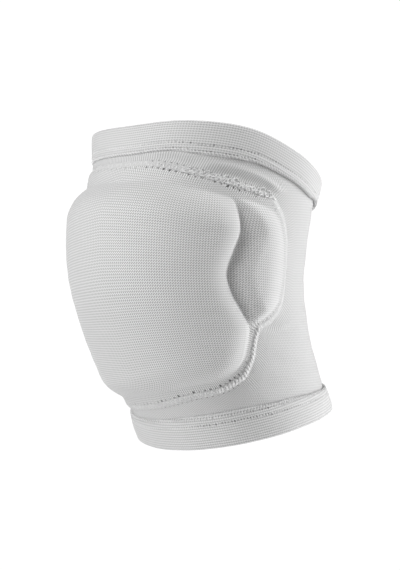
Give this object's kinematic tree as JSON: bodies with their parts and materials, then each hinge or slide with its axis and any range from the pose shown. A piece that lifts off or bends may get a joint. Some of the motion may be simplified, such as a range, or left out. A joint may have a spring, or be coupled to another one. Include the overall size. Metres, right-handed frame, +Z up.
{
  "type": "volleyball knee pad",
  "caption": "Elastic knitted knee pad on a slightly bent leg, with folded cuffs at thigh and calf and a seamed front panel over shaped foam pads.",
  "frame": {"origin": "middle of the leg at the height of the kneecap", "axes": "+Z up the leg from calf to thigh, -Y out of the front of the knee, +X to the side"},
  "size_m": [0.1384, 0.1603, 0.1855],
  "materials": {
    "sleeve_knit": "matt elastic knit",
    "cuff_knit": "matt ribbed elastic knit",
    "panel_knit": "matt close knit",
    "seam_thread": "matt thread",
    "foam": "matt soft foam"
  },
  "bodies": {
    "root": {"sleeve": "sleeve_knit", "upper_cuff": "cuff_knit", "lower_cuff": "cuff_knit", "front_panel": "panel_knit", "panel_seam": "seam_thread", "knee_foam": "foam", "side_foam_left": "foam", "side_foam_right": "foam"}
  },
  "joints": []
}
